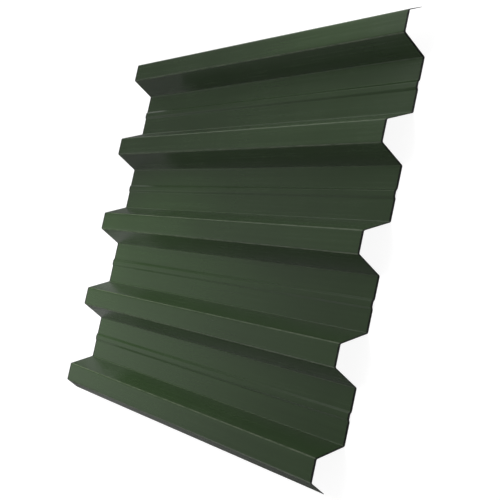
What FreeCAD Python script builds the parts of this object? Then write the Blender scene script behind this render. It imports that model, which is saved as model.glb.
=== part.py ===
import FreeCAD, Part
import math
import os

# Trapezoidal (box profile) roofing sheet, roll-formed from one strip of coated steel.
# Sizes are in millimetres. X runs across the ribs, Y along them and Z up. The pans lie on Z = 0,
# the ribs stand up from them, and the origin is under the middle of the sheet's outline.

# The steel strip, and the length that it is cut to
STEEL = 1.0
LENGTH = 1100.0

# The section: widths lie between sharp fold lines on the underside of the steel
RIBS = 5
CREST_WIDTH = 43.5
PAN_WIDTH = 109.5
WEB_RUN = 29.125
RIB_HEIGHT = 60.0
FOLD_RADIUS = 3.5

# The shallow stiffening bead pressed up along the middle of each pan
BEAD_WIDTH = 20.0
BEAD_TOP = 10.0
BEAD_RISE = 2.4
BEAD_RADIUS = 4.0

# The part-height webs on the two outermost ribs, which lap with the next sheets
LEFT_LIP_DROP = 33.0
RIGHT_LIP_DROP = 27.0

# Worked out from the sizes above
PITCH = CREST_WIDTH + PAN_WIDTH + 2 * WEB_RUN
WEB_RISE = RIB_HEIGHT - STEEL
WEB_LENGTH = math.hypot(WEB_RUN, WEB_RISE)
OUTER_RIB = (RIBS - 1) / 2 * PITCH


def crest_folds(centre):
    """The two fold lines of a rib's flat top, each as (x, z, radius of the underside)."""
    half = CREST_WIDTH / 2
    return [
        (centre - half, WEB_RISE, FOLD_RADIUS),
        (centre + half, WEB_RISE, FOLD_RADIUS),
    ]


def pan_folds(centre):
    """The fold lines of a pan from side to side, with its bead between them."""
    web_fold = FOLD_RADIUS + STEEL
    bead_foot = BEAD_RADIUS + STEEL
    return [
        (centre - PAN_WIDTH / 2, 0, web_fold),
        (centre - BEAD_WIDTH / 2, 0, bead_foot),
        (centre - BEAD_TOP / 2, BEAD_RISE, BEAD_RADIUS),
        (centre + BEAD_TOP / 2, BEAD_RISE, BEAD_RADIUS),
        (centre + BEAD_WIDTH / 2, 0, bead_foot),
        (centre + PAN_WIDTH / 2, 0, web_fold),
    ]


def lip_end(side, drop):
    """The free edge of an outermost rib's short web. It slopes as the full webs do."""
    reach = OUTER_RIB + CREST_WIDTH / 2 + drop * WEB_RUN / WEB_RISE
    return (side * reach, WEB_RISE - drop)


def underside_folds():
    """Every fold line of the section, from the left rib to the right one."""
    folds = []
    for rib in range(RIBS):
        centre = rib * PITCH - OUTER_RIB
        if rib > 0:
            folds += pan_folds(centre - PITCH / 2)
        folds += crest_folds(centre)
    return folds


def rounded_fold(before, corner, after, radius):
    """The arc of a fold: its start, middle and end point."""
    back = (before - corner).normalize()
    ahead = (after - corner).normalize()
    half_angle = back.getAngle(ahead) / 2
    start = corner + back * (radius / math.tan(half_angle))
    end = corner + ahead * (radius / math.tan(half_angle))
    inward = (back + ahead).normalize()
    middle = corner + inward * (radius / math.sin(half_angle) - radius)
    return start, middle, end


def folded_line(left_end, folds, right_end):
    """One wire of straight runs joined by tangent arcs, in the plane Y = 0."""
    stations = [left_end] + folds + [right_end]
    points = [FreeCAD.Vector(s[0], 0, s[1]) for s in stations]
    edges = []
    run_start = points[0]
    for number, (_, _, radius) in enumerate(folds, start=1):
        arc = rounded_fold(points[number - 1], points[number], points[number + 1], radius)
        edges.append(Part.LineSegment(run_start, arc[0]).toShape())
        edges.append(Part.Arc(*arc).toShape())
        run_start = arc[2]
    edges.append(Part.LineSegment(run_start, points[-1]).toShape())
    return Part.Wire(edges)


def sheet_section():
    """The cut end of the sheet: the underside line, thickened upwards by the steel."""
    underside = folded_line(
        lip_end(-1, LEFT_LIP_DROP),
        underside_folds(),
        lip_end(1, RIGHT_LIP_DROP),
    )
    return underside.makeOffset2D(STEEL, fill=True, openResult=True)


def roofing_sheet():
    """The section drawn out along the ribs, with the middle of its outline at X = 0 and Y = 0."""
    lip_difference = (RIGHT_LIP_DROP - LEFT_LIP_DROP) * WEB_RUN / WEB_RISE
    sheet = sheet_section().extrude(FreeCAD.Vector(0, LENGTH, 0))
    sheet.translate(FreeCAD.Vector(-lip_difference / 2, -LENGTH / 2, 0))
    return sheet


os.makedirs("parts", exist_ok=True)
roofing_sheet().exportStep("parts/roofing_sheet.step")
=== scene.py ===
import math

import bpy
from mathutils import Matrix, Vector


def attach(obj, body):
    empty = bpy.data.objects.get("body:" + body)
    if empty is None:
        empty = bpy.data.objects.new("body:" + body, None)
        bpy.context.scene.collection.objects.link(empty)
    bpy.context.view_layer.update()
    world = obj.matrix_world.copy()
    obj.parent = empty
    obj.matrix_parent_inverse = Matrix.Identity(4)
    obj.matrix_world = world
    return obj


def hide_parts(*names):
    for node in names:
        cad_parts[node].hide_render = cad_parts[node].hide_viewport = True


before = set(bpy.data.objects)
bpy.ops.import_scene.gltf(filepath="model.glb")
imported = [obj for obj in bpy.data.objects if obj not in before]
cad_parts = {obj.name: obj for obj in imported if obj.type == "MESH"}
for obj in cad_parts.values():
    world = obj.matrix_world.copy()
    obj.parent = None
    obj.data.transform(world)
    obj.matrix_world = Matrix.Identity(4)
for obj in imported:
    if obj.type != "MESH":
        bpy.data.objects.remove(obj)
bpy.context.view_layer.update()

# Roofing sheet: one strip of 1 mm steel, coated dark green on the weather side and grey on the back, and
# rolled into trapezoidal ribs and flat pans. Each pan has a shallow bead pressed up along its middle, and
# the outer webs of the two edge ribs end part-way down, where the next sheet laps.
STEEL = 0.001
LENGTH = 1.1
RIBS = 5
CREST_WIDTH = 0.0435
PAN_WIDTH = 0.1095
WEB_RUN = 0.029125
WEB_RISE = 0.059
FOLD_RADIUS = 0.0035
BEAD_WIDTH = 0.020
BEAD_TOP = 0.010
BEAD_RISE = 0.0024
BEAD_RADIUS = 0.004
LEFT_LIP_DROP = 0.033
RIGHT_LIP_DROP = 0.027
PITCH = CREST_WIDTH + PAN_WIDTH + 2 * WEB_RUN
WEB_SLOPE = WEB_RUN / WEB_RISE
SECTION_SHIFT = (LEFT_LIP_DROP - RIGHT_LIP_DROP) * WEB_SLOPE / 2
LEFT_RIB = SECTION_SHIFT - (RIBS - 1) / 2 * PITCH
RIGHT_RIB = SECTION_SHIFT + (RIBS - 1) / 2 * PITCH

# The fold lines of one pan, from the middle of the rib on its left to the middle of the next. Each is
# (x, z, radius of the fold) on the underside of the steel.
pan_middle = LEFT_RIB + PITCH / 2
repeated_run = [
    (LEFT_RIB, WEB_RISE, 0),
    (LEFT_RIB + CREST_WIDTH / 2, WEB_RISE, FOLD_RADIUS),
    (pan_middle - PAN_WIDTH / 2, 0, FOLD_RADIUS + STEEL),
    (pan_middle - BEAD_WIDTH / 2, 0, BEAD_RADIUS + STEEL),
    (pan_middle - BEAD_TOP / 2, BEAD_RISE, BEAD_RADIUS),
    (pan_middle + BEAD_TOP / 2, BEAD_RISE, BEAD_RADIUS),
    (pan_middle + BEAD_WIDTH / 2, 0, BEAD_RADIUS + STEEL),
    (pan_middle + PAN_WIDTH / 2, 0, FOLD_RADIUS + STEEL),
    (LEFT_RIB + PITCH - CREST_WIDTH / 2, WEB_RISE, FOLD_RADIUS),
    (LEFT_RIB + PITCH, WEB_RISE, 0),
]
left_lip = [
    (LEFT_RIB - CREST_WIDTH / 2 - LEFT_LIP_DROP * WEB_SLOPE, WEB_RISE - LEFT_LIP_DROP, 0),
    (LEFT_RIB - CREST_WIDTH / 2, WEB_RISE, FOLD_RADIUS),
    (LEFT_RIB, WEB_RISE, 0),
]
right_lip = [
    (RIGHT_RIB, WEB_RISE, 0),
    (RIGHT_RIB + CREST_WIDTH / 2, WEB_RISE, FOLD_RADIUS),
    (RIGHT_RIB + CREST_WIDTH / 2 + RIGHT_LIP_DROP * WEB_SLOPE, WEB_RISE - RIGHT_LIP_DROP, 0),
]

section_points = []
section_edges = []
fold_radii = []
is_repeated = []
for run in (left_lip, repeated_run, right_lip):
    first = len(section_points)
    section_points += [(x, 0, z) for x, z, radius in run]
    fold_radii += [radius for x, z, radius in run]
    is_repeated += [run is repeated_run] * len(run)
    section_edges += [(first + i, first + i + 1) for i in range(len(run) - 1)]

section_mesh = bpy.data.meshes.new("sheet_section")
section_mesh.from_pydata(section_points, section_edges, [])
section_mesh.attributes.new("fold_radius", "FLOAT", "POINT").data.foreach_set("value", fold_radii)
section_mesh.attributes.new("is_repeated", "BOOLEAN", "POINT").data.foreach_set("value", is_repeated)
section = bpy.data.objects.new("sheet_section", section_mesh)
bpy.context.collection.objects.link(section)

rolling = bpy.data.node_groups.new("roll_formed_sheet", "GeometryNodeTree")
rolling.interface.new_socket("Section", in_out="INPUT", socket_type="NodeSocketGeometry")
rolling.interface.new_socket("Sheet", in_out="OUTPUT", socket_type="NodeSocketGeometry")
for label, kind, value in [
    ("Pans", "NodeSocketInt", RIBS - 1),
    ("Pitch", "NodeSocketFloat", PITCH),
    ("Length", "NodeSocketFloat", LENGTH),
    ("Steel", "NodeSocketFloat", STEEL),
    ("Weld distance", "NodeSocketFloat", 0.00001),
    ("Points per fold", "NodeSocketInt", 9),
    ("Step across flats", "NodeSocketFloat", 0.008),
    ("Rows along length", "NodeSocketInt", 70),
    ("Span in a bend", "NodeSocketFloat", 0.0015),
    ("Facing of flats", "NodeSocketFloat", 0.93),
    ("Facing of corners", "NodeSocketFloat", 0.85),
    ("Wave height", "NodeSocketFloat", 0.0003),
    ("Waves per metre", "NodeSocketFloat", 7.0),
    ("Top coat", "NodeSocketMaterial", None),
    ("Backing coat", "NodeSocketMaterial", None),
    ("Cut steel", "NodeSocketMaterial", None),
]:
    socket = rolling.interface.new_socket(label, in_out="INPUT", socket_type=kind)
    if value is not None:
        socket.default_value = value


def worked_out(tree, operation, *values):
    """The result of a Math node. Each value is a number or another node's output."""
    step = tree.nodes.new("ShaderNodeMath")
    step.operation = operation
    for socket, value in zip(step.inputs, values):
        if isinstance(value, (int, float)):
            socket.default_value = value
        else:
            tree.links.new(value, socket)
    return step.outputs[0]


def named_value(tree, kind, name):
    """Reads one of the values kept with the points of the section."""
    named = tree.nodes.new("GeometryNodeInputNamedAttribute")
    named.data_type = kind
    named.inputs["Name"].default_value = name
    return named.outputs["Attribute"]


def stored(tree, geometry, kind, domain, name, value):
    """Keeps a value with the mesh under a name, for the coats to read."""
    store = tree.nodes.new("GeometryNodeStoreNamedAttribute")
    store.data_type = kind
    store.domain = domain
    store.inputs["Name"].default_value = name
    tree.links.new(geometry, store.inputs["Geometry"])
    tree.links.new(value, store.inputs["Value"])
    return store.outputs["Geometry"]


def at_point(tree, value, point):
    """The value that another point of the same line has."""
    other = tree.nodes.new("GeometryNodeFieldAtIndex")
    tree.links.new(value, other.inputs["Value"])
    tree.links.new(point, other.inputs["Index"])
    return other.outputs["Value"]


nodes = rolling.nodes
link = rolling.links.new
given = nodes.new("NodeGroupInput")
result = nodes.new("NodeGroupOutput")

# One pan's run of the section is set out again at every pitch and welded to its neighbours and the lips.
split = nodes.new("GeometryNodeSeparateGeometry")
link(given.outputs["Section"], split.inputs["Geometry"])
link(named_value(rolling, "BOOLEAN", "is_repeated"), split.inputs["Selection"])
pitch_offset = nodes.new("ShaderNodeCombineXYZ")
link(given.outputs["Pitch"], pitch_offset.inputs["X"])
pan_places = nodes.new("GeometryNodeMeshLine")
link(given.outputs["Pans"], pan_places.inputs["Count"])
link(pitch_offset.outputs[0], pan_places.inputs["Offset"])
pan_runs = nodes.new("GeometryNodeInstanceOnPoints")
link(pan_places.outputs["Mesh"], pan_runs.inputs["Points"])
link(split.outputs["Selection"], pan_runs.inputs["Instance"])
real_runs = nodes.new("GeometryNodeRealizeInstances")
link(pan_runs.outputs["Instances"], real_runs.inputs["Geometry"])
all_runs = nodes.new("GeometryNodeJoinGeometry")
link(split.outputs["Inverted"], all_runs.inputs["Geometry"])
link(real_runs.outputs["Geometry"], all_runs.inputs["Geometry"])
welded = nodes.new("GeometryNodeMergeByDistance")
link(all_runs.outputs["Geometry"], welded.inputs["Geometry"])
link(given.outputs["Weld distance"], welded.inputs["Distance"])
line = nodes.new("GeometryNodeMeshToCurve")
link(welded.outputs["Geometry"], line.inputs["Mesh"])

# The folds are rounded, and the flats between them get points close enough to carry the waves.
folded = nodes.new("GeometryNodeFilletCurve")
folded.mode = "POLY"
link(line.outputs["Curve"], folded.inputs["Curve"])
link(given.outputs["Points per fold"], folded.inputs["Count"])
link(named_value(rolling, "FLOAT", "fold_radius"), folded.inputs["Radius"])
length_here = nodes.new("GeometryNodeSplineParameter").outputs["Length"]
index = nodes.new("GeometryNodeInputIndex").outputs[0]
length_after = at_point(rolling, length_here, worked_out(rolling, "ADD", index, 1))
length_before = at_point(rolling, length_here, worked_out(rolling, "ADD", index, -1))
gap = worked_out(rolling, "SUBTRACT", length_after, length_here)
divided = nodes.new("GeometryNodeSubdivideCurve")
link(folded.outputs["Curve"], divided.inputs["Curve"])
link(worked_out(rolling, "DIVIDE", gap, given.outputs["Step across flats"]), divided.inputs["Cuts"])
upright = nodes.new("GeometryNodeSetCurveNormal")
upright.mode = "Z_UP"
link(divided.outputs["Curve"], upright.inputs["Curve"])

# The line is drawn out to the sheet's length. Both distances are kept for the UV map, and points that lie
# close together are marked as a bend.
across = nodes.new("GeometryNodeCaptureAttribute")
across.capture_items.new("FLOAT", "Across")
across.capture_items.new("FLOAT", "Bend")
link(upright.outputs["Curve"], across.inputs["Geometry"])
link(length_here, across.inputs["Across"])
span = worked_out(rolling, "ABSOLUTE", worked_out(rolling, "SUBTRACT", length_after, length_before))
link(worked_out(rolling, "LESS_THAN", span, given.outputs["Span in a bend"]), across.inputs["Bend"])
near_end = nodes.new("ShaderNodeCombineXYZ")
link(worked_out(rolling, "DIVIDE", given.outputs["Length"], -2), near_end.inputs["X"])
far_end = nodes.new("ShaderNodeCombineXYZ")
link(worked_out(rolling, "DIVIDE", given.outputs["Length"], 2), far_end.inputs["X"])
draw = nodes.new("GeometryNodeCurvePrimitiveLine")
link(near_end.outputs[0], draw.inputs["Start"])
link(far_end.outputs[0], draw.inputs["End"])
rows = nodes.new("GeometryNodeResampleCurve")
link(draw.outputs["Curve"], rows.inputs["Curve"])
link(given.outputs["Rows along length"], rows.inputs["Count"])
along = nodes.new("GeometryNodeCaptureAttribute")
along.capture_items.new("FLOAT", "Along")
link(rows.outputs["Curve"], along.inputs["Geometry"])
link(length_here, along.inputs["Along"])
skin = nodes.new("GeometryNodeCurveToMesh")
link(across.outputs["Geometry"], skin.inputs["Curve"])
link(along.outputs["Geometry"], skin.inputs["Profile Curve"])
strip_place = nodes.new("ShaderNodeCombineXYZ")
link(across.outputs["Across"], strip_place.inputs["X"])
link(along.outputs["Along"], strip_place.inputs["Y"])
mapped = stored(rolling, skin.outputs["Mesh"], "FLOAT2", "CORNER", "UVMap", strip_place.outputs[0])

# A bend is a corner where it leans well away from the flats, which leaves the shallow beads out. Facing is
# how much of a surface points up: 1 on a flat, and less on a slope.
normal = nodes.new("GeometryNodeInputNormal")
normal_parts = nodes.new("ShaderNodeSeparateXYZ")
link(normal.outputs[0], normal_parts.inputs["Vector"])
steepness = nodes.new("ShaderNodeMapRange")
link(normal_parts.outputs["Z"], steepness.inputs["Value"])
link(given.outputs["Facing of flats"], steepness.inputs["From Min"])
link(given.outputs["Facing of corners"], steepness.inputs["From Max"])
steep_bend = worked_out(rolling, "MULTIPLY", across.outputs["Bend"], steepness.outputs["Result"])
cornered = stored(rolling, mapped, "FLOAT", "POINT", "corner", steep_bend)

# Rolling leaves faint waves in the flats. The skin is moved by them and then thickened by the steel.
wave = nodes.new("ShaderNodeTexNoise")
wave.inputs["Detail"].default_value = 0
link(given.outputs["Waves per metre"], wave.inputs["Scale"])
wave_move = nodes.new("ShaderNodeVectorMath")
wave_move.operation = "SCALE"
link(normal.outputs[0], wave_move.inputs[0])
wave_height = worked_out(rolling, "MULTIPLY", wave.outputs["Fac"], given.outputs["Wave height"])
link(wave_height, wave_move.inputs["Scale"])
waved = nodes.new("GeometryNodeSetPosition")
link(cornered, waved.inputs["Geometry"])
link(wave_move.outputs[0], waved.inputs["Offset"])
thick = nodes.new("GeometryNodeExtrudeMesh")
thick.inputs["Individual"].default_value = False
link(waved.outputs["Geometry"], thick.inputs["Mesh"])
link(given.outputs["Steel"], thick.inputs["Offset Scale"])
thick_faces = nodes.new("GeometryNodeCaptureAttribute")
thick_faces.domain = "FACE"
thick_faces.capture_items.new("BOOLEAN", "Weather side")
thick_faces.capture_items.new("BOOLEAN", "Cut edge")
link(thick.outputs["Mesh"], thick_faces.inputs["Geometry"])
link(thick.outputs["Top"], thick_faces.inputs["Weather side"])
link(thick.outputs["Side"], thick_faces.inputs["Cut edge"])
deep = stored(rolling, thick_faces.outputs["Geometry"], "FLOAT", "POINT", "depth", thick.outputs["Top"])
turned = nodes.new("GeometryNodeFlipFaces")
link(waved.outputs["Geometry"], turned.inputs["Mesh"])
both_sides = nodes.new("GeometryNodeJoinGeometry")
link(turned.outputs["Mesh"], both_sides.inputs["Geometry"])
link(deep, both_sides.inputs["Geometry"])
closed = nodes.new("GeometryNodeMergeByDistance")
link(both_sides.outputs["Geometry"], closed.inputs["Geometry"])
link(given.outputs["Weld distance"], closed.inputs["Distance"])

# The back coat goes on everything first, then the top coat on the weather side, and bare steel on the cuts.
real_sheet = nodes.new("GeometryNodeRealizeInstances")
link(closed.outputs["Geometry"], real_sheet.inputs["Geometry"])
back_coated = nodes.new("GeometryNodeSetMaterial")
link(real_sheet.outputs["Geometry"], back_coated.inputs["Geometry"])
link(given.outputs["Backing coat"], back_coated.inputs["Material"])
top_coated = nodes.new("GeometryNodeSetMaterial")
link(back_coated.outputs["Geometry"], top_coated.inputs["Geometry"])
link(thick_faces.outputs["Weather side"], top_coated.inputs["Selection"])
link(given.outputs["Top coat"], top_coated.inputs["Material"])
sheared = nodes.new("GeometryNodeSetMaterial")
link(top_coated.outputs["Geometry"], sheared.inputs["Geometry"])
link(thick_faces.outputs["Cut edge"], sheared.inputs["Selection"])
link(given.outputs["Cut steel"], sheared.inputs["Material"])
link(sheared.outputs["Geometry"], result.inputs["Sheet"])

# Top coat: dark green polyester paint with a satin gloss. The coating line leaves long faint streaks, a
# slightly uneven sheen and a fine orange-peel skin. The corners of the ribs are rubbed dull, and the upper
# ones are paler in patches, partly from rubbing and partly as a painted highlight along the folds. A dark
# line of painted shade runs along both cut ends.
TOP_GREEN = (0.0205, 0.0480, 0.0110, 1)
TOP_GREEN_PALE = (0.0255, 0.0570, 0.0150, 1)
TOP_STREAKS = (110, 1.8, 1)
TOP_ROUGHNESS = (0.232, 0.268)
GRAIN_ROUGHNESS = (-0.02, 0.02)
STREAK_RELIEF = 0.000008
PEEL_RELIEF = 0.00002
# Paler green on the upper folds: partly rubbed wear, partly a painted highlight along the fold lines.
RUBBED_AND_HIGHLIT_GREEN = (0.0950, 0.1250, 0.0700, 1)
RUBBED_AND_HIGHLIT_HEIGHTS = (0.01, 0.05)
RUBBED_AND_HIGHLIT_SHARES = (0.3, 1)
PATCH_EDGES = (0.35, 0.6)
PATCH_SHARES = (0.25, 1)
CORNER_DULLNESS = 0.35
# A dark band of painted shade along both cut ends, darker and more metal-like than the paint.
EDGE_SHADE_COLOUR = (0.0180, 0.0200, 0.0175, 1)
EDGE_SHADE_METAL = 0.9
EDGE_SHADE_WIDTH = 0.0045
EDGE_SHADE_FADE = 0.0008
NOISE_RANGE = (0.3, 0.7)
TWO_NOISES_RANGE = (0.75, 1.25)


def noise_on(tree, vector, scale, detail, stretch=(1, 1, 1)):
    """A noise pattern on the given coordinates. A low number in stretch makes it long that way."""
    mapping = tree.nodes.new("ShaderNodeMapping")
    mapping.inputs["Scale"].default_value = stretch
    tree.links.new(vector, mapping.inputs["Vector"])
    noise = tree.nodes.new("ShaderNodeTexNoise")
    noise.inputs["Scale"].default_value = scale
    noise.inputs["Detail"].default_value = detail
    tree.links.new(mapping.outputs["Vector"], noise.inputs["Vector"])
    return noise.outputs["Fac"]


def spread_to(tree, value, between, onto):
    """Maps the range between two numbers onto the range between two others, and holds its ends."""
    spread = tree.nodes.new("ShaderNodeMapRange")
    for name, number in zip(("From Min", "From Max", "To Min", "To Max"), (*between, *onto)):
        spread.inputs[name].default_value = number
    tree.links.new(value, spread.inputs["Value"])
    return spread.outputs["Result"]


def blended(tree, amount, first, second):
    """Blends two colours, each a value or another node's output."""
    blend = tree.nodes.new("ShaderNodeMix")
    blend.data_type = "RGBA"
    tree.links.new(amount, blend.inputs["Factor"])
    colour_inputs = [socket for socket in blend.inputs if socket.type == "RGBA"]
    colour_outputs = [socket for socket in blend.outputs if socket.type == "RGBA"]
    for socket, colour in zip(colour_inputs, (first, second)):
        if isinstance(colour, tuple):
            socket.default_value = colour
        else:
            tree.links.new(colour, socket)
    return colour_outputs[0]


def relief(tree, height, depth, under=None):
    """A bump of the given depth in metres, laid over another one."""
    bump = tree.nodes.new("ShaderNodeBump")
    bump.inputs["Distance"].default_value = depth
    tree.links.new(height, bump.inputs["Height"])
    if under is not None:
        tree.links.new(under, bump.inputs["Normal"])
    return bump.outputs["Normal"]


top_coat = bpy.data.materials.new("green_top_coat")
top_coat.use_nodes = True
tree = top_coat.node_tree
nodes = tree.nodes
link = tree.links.new
paint = nodes["Principled BSDF"]
paint.inputs["IOR"].default_value = 1.5
paint.inputs["Anisotropic"].default_value = 0.85
across_strip = nodes.new("ShaderNodeTangent")
across_strip.direction_type = "UV_MAP"
across_strip.uv_map = "UVMap"
link(across_strip.outputs["Tangent"], paint.inputs["Tangent"])
strip = nodes.new("ShaderNodeUVMap")
strip.uv_map = "UVMap"
place = nodes.new("ShaderNodeTexCoord").outputs["Object"]
corner = nodes.new("ShaderNodeAttribute")
corner.attribute_name = "corner"
streaks = noise_on(tree, strip.outputs["UV"], scale=1, detail=4, stretch=TOP_STREAKS)
clouds = noise_on(tree, place, scale=5, detail=3)
peel = noise_on(tree, place, scale=380, detail=1)
grain = noise_on(tree, place, scale=1400, detail=2)
unevenness = worked_out(tree, "ADD", streaks, clouds)
paleness = spread_to(tree, unevenness, TWO_NOISES_RANGE, (0, 1))
flat_green = blended(tree, paleness, TOP_GREEN, TOP_GREEN_PALE)

# The paler colour on the corners, rubbed wear with a painted highlight, is strongest on the upper corners and
# weaker at the foot of the ribs.
place_parts = nodes.new("ShaderNodeSeparateXYZ")
link(place, place_parts.inputs["Vector"])
reach = spread_to(tree, place_parts.outputs["Z"], RUBBED_AND_HIGHLIT_HEIGHTS, RUBBED_AND_HIGHLIT_SHARES)
reached_corner = worked_out(tree, "MULTIPLY", corner.outputs["Fac"], reach)
patches = spread_to(tree, noise_on(tree, place, scale=45, detail=3), PATCH_EDGES, PATCH_SHARES)
rubbed_and_highlit = worked_out(tree, "MULTIPLY", reached_corner, patches)
rubbed_and_highlit_green = blended(tree, rubbed_and_highlit, flat_green, RUBBED_AND_HIGHLIT_GREEN)

# The dark line of painted shade lies at the same distance from both ends, and noise makes its inner edge
# ragged.
strip_parts = nodes.new("ShaderNodeSeparateXYZ")
link(strip.outputs["UV"], strip_parts.inputs["Vector"])
past_middle = worked_out(tree, "SUBTRACT", strip_parts.outputs["Y"], LENGTH / 2)
from_middle = worked_out(tree, "ABSOLUTE", past_middle)
edge_shade_noise = noise_on(tree, place, scale=150, detail=3)
raggedness = spread_to(tree, edge_shade_noise, NOISE_RANGE, (-EDGE_SHADE_FADE, EDGE_SHADE_FADE))
ragged_place = worked_out(tree, "ADD", from_middle, raggedness)
edge_shade_start = LENGTH / 2 - EDGE_SHADE_WIDTH
edge_shade = spread_to(tree, ragged_place, (edge_shade_start - EDGE_SHADE_FADE, edge_shade_start + EDGE_SHADE_FADE), (0, 1))
link(blended(tree, edge_shade, rubbed_and_highlit_green, EDGE_SHADE_COLOUR), paint.inputs["Base Color"])
link(worked_out(tree, "MULTIPLY", edge_shade, EDGE_SHADE_METAL), paint.inputs["Metallic"])

uneven_roughness = spread_to(tree, unevenness, TWO_NOISES_RANGE, TOP_ROUGHNESS)
grain_roughness = spread_to(tree, grain, NOISE_RANGE, GRAIN_ROUGHNESS)
flat_roughness = worked_out(tree, "ADD", uneven_roughness, grain_roughness)
roughness = worked_out(tree, "MULTIPLY_ADD", corner.outputs["Fac"], CORNER_DULLNESS, flat_roughness)
link(roughness, paint.inputs["Roughness"])
roller_lines = relief(tree, streaks, STREAK_RELIEF)
link(relief(tree, peel, PEEL_RELIEF, under=roller_lines), paint.inputs["Normal"])

# Backing coat: a thin light grey primer. It is duller than the top coat and shows the roller's faint lines.
BACK_GREY = (0.36, 0.37, 0.36, 1)
BACK_GREY_PALE = (0.46, 0.47, 0.455, 1)
BACK_STREAKS = (160, 2.2, 1)
BACK_ROUGHNESS = (0.46, 0.58)
BACK_STREAK_RELIEF = 0.0001
BACK_GRAIN_RELIEF = 0.00002
back_coat = bpy.data.materials.new("grey_backing_coat")
back_coat.use_nodes = True
tree = back_coat.node_tree
nodes = tree.nodes
link = tree.links.new
primer = nodes["Principled BSDF"]
strip = nodes.new("ShaderNodeUVMap")
strip.uv_map = "UVMap"
place = nodes.new("ShaderNodeTexCoord").outputs["Object"]
streaks = noise_on(tree, strip.outputs["UV"], scale=1, detail=5, stretch=BACK_STREAKS)
clouds = noise_on(tree, place, scale=6, detail=4)
grain = noise_on(tree, place, scale=900, detail=2)
unevenness = worked_out(tree, "ADD", streaks, clouds)
paleness = spread_to(tree, unevenness, TWO_NOISES_RANGE, (0, 1))
link(blended(tree, paleness, BACK_GREY, BACK_GREY_PALE), primer.inputs["Base Color"])
link(spread_to(tree, unevenness, TWO_NOISES_RANGE, BACK_ROUGHNESS), primer.inputs["Roughness"])
roller_lines = relief(tree, streaks, BACK_STREAK_RELIEF)
link(relief(tree, grain, BACK_GRAIN_RELIEF, under=roller_lines), primer.inputs["Normal"])

# Cut steel: the shears leave a smooth band below the top coat and a dull torn band under it. Depth runs
# from 0 at the back of the steel to 1 at its weather side.
TORN_STEEL = (0.085, 0.085, 0.080, 1)
SHEARED_STEEL = (0.20, 0.205, 0.20, 1)
BAND_EDGE = (0.58, 0.68)
TEAR_HEIGHTS = (-0.15, 0.15)
CUT_ROUGHNESS = (0.65, 0.38)
TEAR_RELIEF = 0.00006
cut_steel = bpy.data.materials.new("cut_steel")
cut_steel.use_nodes = True
tree = cut_steel.node_tree
nodes = tree.nodes
link = tree.links.new
steel = nodes["Principled BSDF"]
steel.inputs["Metallic"].default_value = 1.0
place = nodes.new("ShaderNodeTexCoord").outputs["Object"]
depth = nodes.new("ShaderNodeAttribute")
depth.attribute_name = "depth"
tears = noise_on(tree, place, scale=700, detail=3)
tear_height = spread_to(tree, tears, NOISE_RANGE, TEAR_HEIGHTS)
torn_depth = worked_out(tree, "ADD", depth.outputs["Fac"], tear_height)
smooth_band = spread_to(tree, torn_depth, BAND_EDGE, (0, 1))
link(blended(tree, smooth_band, TORN_STEEL, SHEARED_STEEL), steel.inputs["Base Color"])
link(spread_to(tree, smooth_band, (0, 1), CUT_ROUGHNESS), steel.inputs["Roughness"])
link(relief(tree, tears, TEAR_RELIEF), steel.inputs["Normal"])

# The finished sheet gets its coats. Its cut edges stay crisp, and its folds are shaded smoothly.
CRISP_ANGLE = math.radians(40)
finishes = {"Top coat": top_coat, "Backing coat": back_coat, "Cut steel": cut_steel}
roll = section.modifiers.new("roll", "NODES")
roll.node_group = rolling
for item in rolling.interface.items_tree:
    if item.name in finishes:
        roll[item.identifier] = finishes[item.name]
rolled = section.evaluated_get(bpy.context.evaluated_depsgraph_get())
sheet_mesh = bpy.data.meshes.new_from_object(rolled)
sheet_mesh.name = "green_sheet"
sheet_mesh.materials.pop(index=0)  # the tree leaves an empty slot before its three
sheet_mesh.shade_smooth()
sheet_mesh.set_sharp_from_angle(angle=CRISP_ANGLE)
section.modifiers.remove(roll)
bpy.data.objects.remove(section)
sheet = bpy.data.objects.new("green_sheet", sheet_mesh)
bpy.context.collection.objects.link(sheet)
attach(sheet, "root")
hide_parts("roofing_sheet")

# Floor: plain and white. It keeps the sheet's soft shadow. Its glow shows to the camera alone, because the
# paint reflects a dark surrounding and would turn pale over a white one.
FLOOR_HALF = 12.0
FLOOR_HEIGHT = -0.0005
FLOOR_GREY = (0.22, 0.22, 0.22, 1)
FLOOR_ROUGHNESS = 0.9
FLOOR_GLOW = 0.93
floor_mesh = bpy.data.meshes.new("floor")
floor_corners = [
    (-FLOOR_HALF, -FLOOR_HALF, FLOOR_HEIGHT),
    (FLOOR_HALF, -FLOOR_HALF, FLOOR_HEIGHT),
    (FLOOR_HALF, FLOOR_HALF, FLOOR_HEIGHT),
    (-FLOOR_HALF, FLOOR_HALF, FLOOR_HEIGHT),
]
floor_mesh.from_pydata(floor_corners, [], [(0, 1, 2, 3)])
floor = bpy.data.objects.new("floor", floor_mesh)
bpy.context.collection.objects.link(floor)
floor_white = bpy.data.materials.new("white_floor")
floor_white.use_nodes = True
tree = floor_white.node_tree
nodes = tree.nodes
link = tree.links.new
floor_paint = nodes["Principled BSDF"]
floor_paint.inputs["Base Color"].default_value = FLOOR_GREY
floor_paint.inputs["Roughness"].default_value = FLOOR_ROUGHNESS
ray = nodes.new("ShaderNodeLightPath")
glow = nodes.new("ShaderNodeEmission")
glow.inputs["Color"].default_value = (1, 1, 1, 1)
link(worked_out(tree, "MULTIPLY", ray.outputs["Is Camera Ray"], FLOOR_GLOW), glow.inputs["Strength"])
both = nodes.new("ShaderNodeAddShader")
link(floor_paint.outputs["BSDF"], both.inputs[0])
link(glow.outputs["Emission"], both.inputs[1])
link(both.outputs[0], nodes["Material Output"].inputs["Surface"])
floor_mesh.materials.append(floor_white)

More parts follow.
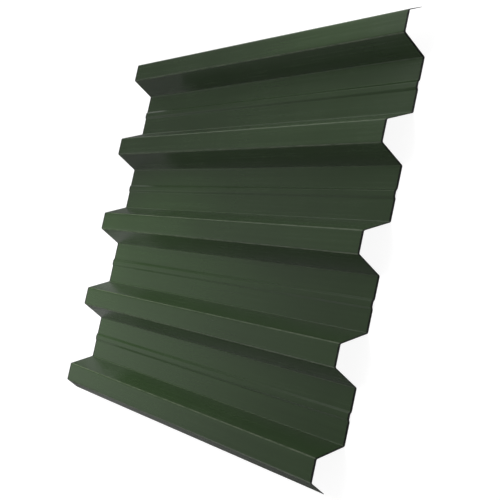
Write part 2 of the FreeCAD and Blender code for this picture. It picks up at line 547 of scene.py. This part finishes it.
# Light: a dim round room with soft windows in its wall, which the camera sees as plain white. The
# brightest window is high beyond the far end to the right. A spot lights the far end of the left ribs, and
# a small strip the near half of the right rib.
ROOM_LIGHT = 0.108
world = bpy.data.worlds.new("room")
bpy.context.scene.world = world
world.use_nodes = True
tree = world.node_tree
nodes = tree.nodes
link = tree.links.new
direction = nodes.new("ShaderNodeTexCoord")
direction_parts = nodes.new("ShaderNodeSeparateXYZ")
link(direction.outputs["Generated"], direction_parts.inputs["Vector"])
azimuth = worked_out(tree, "ARCTAN2", direction_parts.outputs["X"], direction_parts.outputs["Y"])
elevation = worked_out(tree, "ARCSINE", direction_parts.outputs["Z"])


def ramp(tree, angle, degrees):
    """Rises from 0 to 1 between the first two angles, and falls back between the last two."""
    start, full_from, full_to, end = [math.radians(degree) for degree in degrees]
    rise = spread_to(tree, angle, (start, full_from), (0, 1))
    fall = spread_to(tree, angle, (end, full_to), (0, 1))
    return worked_out(tree, "MINIMUM", rise, fall)


def window(tree, wall, across, up, brightness):
    """Adds a soft window to the wall. Across is measured from the far end to the right, up from the floor."""
    shape = worked_out(tree, "MULTIPLY", ramp(tree, azimuth, across), ramp(tree, elevation, up))
    return worked_out(tree, "MULTIPLY_ADD", shape, brightness, wall)


wall = window(tree, ROOM_LIGHT, across=(20, 35, 35, 60), up=(-30, 0, 36, 58), brightness=1.14)
wall = window(tree, wall, across=(20, 35, 35, 60), up=(36, 58, 58, 91), brightness=16.3)
wall = window(tree, wall, across=(-70, -40, -40, -20), up=(0, 12, 24, 36), brightness=1.85)
wall = window(tree, wall, across=(-20, -5, 8, 20), up=(24, 36, 36, 58), brightness=0.38)
wall = window(tree, wall, across=(-20, -5, -5, 8), up=(12, 24, 24, 36), brightness=0.66)
wall = window(tree, wall, across=(50, 90, 110, 170), up=(-30, 0, 40, 80), brightness=0.35)
wall = window(tree, wall, across=(-170, -110, -90, -50), up=(-30, 0, 40, 80), brightness=0.2)
seen_by = nodes.new("ShaderNodeLightPath")
seen_room = nodes.new("ShaderNodeMix")
seen_room.inputs["B"].default_value = 1.0
link(seen_by.outputs["Is Camera Ray"], seen_room.inputs["Factor"])
link(wall, seen_room.inputs["A"])
nodes["Background"].inputs["Color"].default_value = (1, 1, 1, 1)
link(seen_room.outputs["Result"], nodes["Background"].inputs["Strength"])

RIB_STRIP_PLACE = (0.72, -0.35, 0.17)
RIB_STRIP_AIM = (0.42, -0.35, 0.06)
RIB_STRIP_WIDTH = 0.08
RIB_STRIP_LENGTH = 0.35
RIB_STRIP_BRIGHTNESS = 14
FAR_SPOT_PLACE = (-0.094, 0.857, 0.743)
FAR_SPOT_AIM = (-0.24, 0.38, 0.03)
FAR_SPOT_POWER = 21
FAR_SPOT_CONE = math.radians(54)
FAR_SPOT_BLEND = 0.6
FAR_SPOT_RADIUS = 0.06


def hang(light, place, target):
    """Hangs a lamp at its place and turns it to the target. It lights the sheet but isn't seen itself."""
    lamp = bpy.data.objects.new(light.name, light)
    lamp.location = place
    lamp.rotation_euler = (Vector(target) - lamp.location).to_track_quat("-Z", "Y").to_euler()
    lamp.visible_camera = False
    lamp.visible_glossy = False
    bpy.context.collection.objects.link(lamp)


rib_strip = bpy.data.lights.new("rib_strip", "AREA")
rib_strip.shape = "RECTANGLE"
rib_strip.size = RIB_STRIP_WIDTH
rib_strip.size_y = RIB_STRIP_LENGTH
rib_strip.energy = RIB_STRIP_BRIGHTNESS * math.pi * RIB_STRIP_WIDTH * RIB_STRIP_LENGTH
hang(rib_strip, RIB_STRIP_PLACE, RIB_STRIP_AIM)
far_spot = bpy.data.lights.new("far_spot", "SPOT")
far_spot.energy = FAR_SPOT_POWER
far_spot.spot_size = FAR_SPOT_CONE
far_spot.spot_blend = FAR_SPOT_BLEND
far_spot.shadow_soft_size = FAR_SPOT_RADIUS
hang(far_spot, FAR_SPOT_PLACE, FAR_SPOT_AIM)

# Camera: looks down along the ribs from beyond the near end, turned so that the ribs run across the picture.
CAMERA_PLACE = Vector((-0.17707, -1.91691, 1.20507))
CAMERA_AIM = Vector((-0.02803, -0.10618, 0))
CAMERA_ROLL = math.radians(75.24)
SENSOR_WIDTH = 36
FOCAL_LENGTH = 70.227
camera_data = bpy.data.cameras.new("camera")
camera_data.sensor_width = SENSOR_WIDTH
camera_data.lens = FOCAL_LENGTH
camera = bpy.data.objects.new("camera", camera_data)
aim = (CAMERA_AIM - CAMERA_PLACE).to_track_quat("-Z", "Y").to_matrix().to_4x4()
camera.matrix_world = Matrix.Translation(CAMERA_PLACE) @ aim @ Matrix.Rotation(-CAMERA_ROLL, 4, "Z")
bpy.context.collection.objects.link(camera)
bpy.context.scene.camera = camera
bpy.context.scene.view_settings.view_transform = "Standard"
